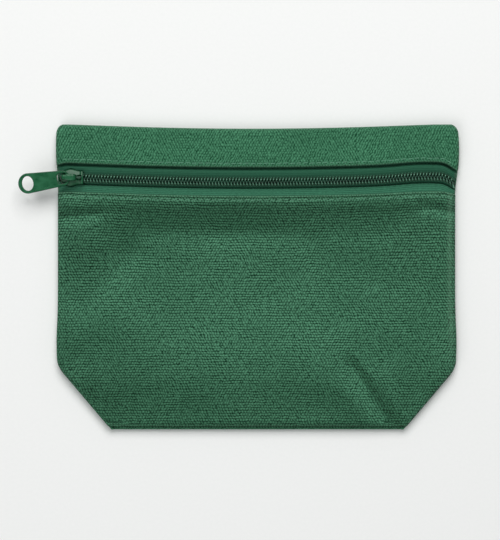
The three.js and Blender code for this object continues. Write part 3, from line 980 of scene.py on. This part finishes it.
def canvas_material(name, gap, crown, rows):
    """Plain-woven cotton canvas. Each thread's crowns lie on two crossing diagonals and in rows.

    Which of these shows most changes from place to place with the tension of the threads.
    """
    p = Paint(name, Sheen_Weight=0.06, Sheen_Roughness=0.5, Specular_IOR_Level=0.12)
    cloth = p.stored("cloth")
    x, y, _ = p.split(cloth)
    drift = p.unevenness(cloth, (16, 11, 10), 3.0)
    jitter = p.unevenness(cloth, (2.6, 2.6, 10), 2.0)
    wobble = p.math("ADD", drift, p.math("MULTIPLY", jitter, 0.8))
    u = p.math("ADD", p.math("DIVIDE", x, WARP_PAIR * MM), p.math("MULTIPLY", wobble, 1.5))
    v = p.math("ADD", p.math("DIVIDE", y, WEFT_PITCH * MM), p.math("MULTIPLY", wobble, 0.9))
    half_v = p.math("MULTIPLY", v, 0.5)
    one_way = p.wave("COSINE", p.math("ADD", u, half_v))
    other_way = p.wave("COSINE", p.math("SUBTRACT", u, half_v))
    in_rows = p.wave("COSINE", v)
    lean = p.unevenness(cloth, (17, 13, 10), 2.0)
    tension = p.unevenness(cloth, (13, 10, 10), 2.0)
    bump = p.math("MULTIPLY", one_way, p.ranged(lean, 0.35, 0.65, 0.16, 0.50))
    bump = p.math("ADD", bump, p.math("MULTIPLY", other_way, p.ranged(lean, 0.35, 0.65, 0.42, 0.12)))
    row_share = p.ranged(tension, 0.35, 0.65, 0.4 * rows, rows)
    bump = p.math("ADD", bump, p.math("MULTIPLY", in_rows, row_share))
    thick = p.unevenness(cloth, (2.4, 1.0, 10), 2.0)
    thin = p.unevenness(cloth, (0.9, 2.0, 10), 2.0)
    slub = p.math("ADD", p.ranged(thick, 0.3, 0.7, -0.34, 0.34), p.ranged(thin, 0.3, 0.7, -0.24, 0.24))
    fibre = p.unevenness(cloth, (0.5, 0.5, 0.5), 3.0)
    height = p.math("ADD", p.math("ADD", bump, slub), p.ranged(fibre, 0.3, 0.7, -0.30, 0.30))
    colour = p.blend(p.ranged(height, -0.75, 0.85), gap, crown)
    # Painted shade: darker where the cloth falls away from the light, and in its grooves and hollows.
    shade_share = p.ranged(p.stored("painted_shade", "Fac"), -1.0, 1.0, -0.3, 0.85)
    colour = p.blend(p.math("MAXIMUM", shade_share, 0.0), colour, p.tinted(colour, (0.42, 0.50, 0.46)))
    cloud = p.unevenness(cloth, (34, 28, 30), 4.0)
    colour = p.blend(p.ranged(cloud, 0.35, 0.65, 0.0, 0.2), colour, linear(20, 64, 42))
    # Painted sheen and wear: paler along the folded edges and creases.
    sheen_and_wear = p.math("MULTIPLY", p.stored("sheen_and_wear", "Fac"), 0.45)
    colour = p.blend(sheen_and_wear, colour, linear(98, 140, 114))
    roughness = p.ranged(height, -1.0, 1.0, 0.95, 0.78)
    return p.finish(colour, roughness, height, 0.55, 0.16)


def tape_material():
    """A tightly woven polyester tape with fine ribs along it and short herringbone strokes."""
    p = Paint("zipper_tape", Sheen_Weight=0.06, Sheen_Roughness=0.4, Specular_IOR_Level=0.2)
    cloth = p.stored("cloth")
    x, y, _ = p.split(cloth)
    ribs = p.math("DIVIDE", y, TAPE_RIB * MM)
    zigzag = p.math("PINGPONG", ribs, 1.0)
    stroke = p.wave("SINE", p.math("ADD", p.math("DIVIDE", x, 0.55 * MM), zigzag))
    rib = p.wave("COSINE", ribs)
    fibre = p.unevenness(cloth, (1.6, 0.4, 1), 3.0)
    height = p.math("ADD", p.math("MULTIPLY", stroke, 0.25), p.math("MULTIPLY", rib, 0.3))
    height = p.math("ADD", height, p.ranged(fibre, 0.3, 0.7, -0.3, 0.3))
    colour = p.blend(p.ranged(height, -0.8, 0.8), linear(12, 72, 50), linear(72, 138, 108))
    # Painted shadow along the coil and under the band's edge.
    colour = p.blend(p.stored("shade", "Fac"), colour, linear(14, 66, 46))
    return p.finish(colour, p.ranged(fibre, 0.3, 0.7, 0.62, 0.8), height, 0.35, 0.1)


def coil_material():
    """Dyed nylon monofilament, dark and slightly glossy, with a painted highlight on its turns' crowns
    and scuffs here and there.
    """
    p = Paint("zipper_coil", Specular_IOR_Level=0.4, Coat_Weight=0.2, Coat_Roughness=0.15)
    place = p.place()
    scuff = p.unevenness(place, (0.8, 0.5, 0.8), 3.0)
    tone = p.unevenness(place, (14, 6, 6), 2.0)
    dark = p.blend(p.ranged(tone, 0.35, 0.65), linear(8, 48, 33), linear(28, 76, 56))
    colour = p.blend(p.stored("painted_highlight", "Fac"), dark, linear(104, 162, 134))
    colour = p.blend(p.ranged(scuff, 0.5, 0.75, 0.0, 0.35), colour, linear(70, 104, 88))
    return p.finish(colour, p.ranged(scuff, 0.3, 0.7, 0.32, 0.52), scuff, 0.15, 0.05)


def thread_material(name, dark, light, twist=0.42):
    """Twisted sewing thread: slanting plies and stray fibres."""
    p = Paint(name, Sheen_Weight=0.1, Sheen_Roughness=0.35, Specular_IOR_Level=0.25)
    place = p.place()
    x, y, z = p.split(place)
    lean = p.math("ADD", p.math("DIVIDE", x, twist * MM), p.math("DIVIDE", y, 0.6 * MM))
    ply = p.wave("SINE", p.math("ADD", lean, p.math("DIVIDE", z, 0.9 * MM)))
    fibre = p.unevenness(place, (0.6, 0.25, 0.4), 3.0)
    height = p.math("ADD", p.math("MULTIPLY", ply, 0.4), p.ranged(fibre, 0.3, 0.7, -0.4, 0.4))
    colour = p.blend(p.ranged(height, -0.7, 0.7), dark, light)
    return p.finish(colour, p.ranged(fibre, 0.3, 0.7, 0.6, 0.8), height, 0.4, 0.08)


def enamel_material():
    """Green stoving enamel on die-cast metal: faint orange peel, specks, worn places, and shade painted
    on its flanks.
    """
    p = Paint("enamelled_metal", Specular_IOR_Level=0.22, Coat_Weight=0.12, Coat_Roughness=0.1)
    place = p.place()
    peel = p.unevenness(place, (0.9, 0.9, 0.9), 2.0)
    rub = p.unevenness(place, (3.5, 2.2, 2.5), 4.0)
    speck = p.unevenness(place, (0.22, 0.22, 0.22), 2.0)
    colour = p.blend(p.ranged(rub, 0.4, 0.65), linear(14, 78, 47), linear(26, 94, 60))
    colour = p.blend(p.ranged(speck, 0.66, 0.74, 0.0, 0.5), colour, linear(30, 72, 52))
    # Painted shade: the less a face points up or down, the darker it is.
    level = p.math("ABSOLUTE", p.split(p.outward())[2])
    colour = p.blend(p.ranged(level, 0.5, 0.97, 0.8, 0.0), colour, linear(4, 34, 20))
    return p.finish(colour, p.ranged(rub, 0.35, 0.7, 0.26, 0.42), peel, 0.12, 0.08)


def steel_material():
    """Spring steel with fine drawing lines and a thin green tint of paint."""
    p = Paint("spring_steel", Metallic=0.35, Specular_IOR_Level=0.5)
    place = p.place()
    line = p.unevenness(place, (5, 0.08, 0.3), 3.0)
    tint = p.unevenness(place, (1.2, 0.8, 0.8), 3.0)
    colour = p.blend(p.ranged(tint, 0.4, 0.6), linear(52, 84, 68), linear(30, 66, 48))
    return p.finish(colour, p.ranged(line, 0.3, 0.7, 0.25, 0.45), line, 0.2, 0.03)


def floor_material():
    """Matt white card with a barely visible tooth."""
    p = Paint("card", Specular_IOR_Level=0.2)
    place = p.place()
    tooth = p.unevenness(place, (1.5, 1.5, 1.5), 3.0)
    colour = p.blend(tooth, (0.84, 0.85, 0.845, 1), (0.88, 0.885, 0.88, 1))
    return p.finish(colour, p.ranged(tooth, 0.3, 0.7, 0.85, 0.95), tooth, 0.03, 0.1)


def paint(piece, material):
    piece.data.materials.clear()
    piece.data.materials.append(material)


# ------------------------------------------------------------------ putting it together

def build_cloth(canvas, folded, inner):
    front, back, pleat = front_canvas(), back_canvas(), base_pleat()
    paint(front, canvas)
    paint(back, folded)
    paint(pleat, inner)
    gape(front)
    gape(pleat, pleat_follow)
    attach(back, "root")
    for side in (-1, 1):
        corner = corner_pleat(side)
        paint(corner, inner)
        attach(corner, "root")


def build_seams(inner, thread):
    for side in (-1, 1):
        strip, loops = seam_strip(side)
        paint(strip, inner)
        paint(loops, thread)
        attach(strip, "root")
        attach(loops, "root")


def build_zipper(tape_finish, coil_finish, coil_thread):
    for side in (1, -1):
        parts = [(tape(side), tape_finish), (coil(side), coil_finish)]
        parts += [(filler_cord(side), coil_thread), (coil_stitches(side), coil_thread)]
        for piece, finish in parts:
            paint(piece, finish)
            if side > 0:
                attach(piece, "root")
            else:
                gape(piece)


def build_stitching(thread):
    upper = topstitch("stitch_band", "topstitch_upper", BAND_STITCH_Y, band_face)
    lower = topstitch("stitch_front", "topstitch_lower", FRONT_STITCH_Y, front_face)
    paint(upper, thread)
    paint(lower, thread)
    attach(upper, "root")
    gape(lower)


def build_slider(enamel, steel):
    for piece in (slider_shell(1), slider_shell(-1), slider_neck(), slider_arch()):
        paint(piece, enamel)
        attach(piece, "slider")
    for name, finish, rounding in (("pull_tab", enamel, 0.34), ("lock_pawl", steel, 0.08)):
        part = bpy.data.objects[name]
        for held in part.material_slots:
            held.material = finish
        soften(part, rounding, 4)


make_studio()
canvas = canvas_material("canvas", linear(2, 42, 25), linear(88, 147, 115), 0.6)
folded = canvas_material("folded_canvas", linear(6, 64, 40), linear(86, 152, 116), 0.16)
inner = canvas_material("inner_canvas", linear(6, 46, 28), linear(70, 124, 95), 0.3)
thread = thread_material("sewing_thread", linear(64, 120, 92), linear(112, 164, 138))
coil_thread = thread_material("coil_thread", linear(2, 30, 18), linear(26, 70, 48), 0.3)
build_cloth(canvas, folded, inner)
build_seams(inner, thread)
build_zipper(tape_material(), coil_material(), coil_thread)
build_stitching(thread)
build_slider(enamel_material(), steel_material())
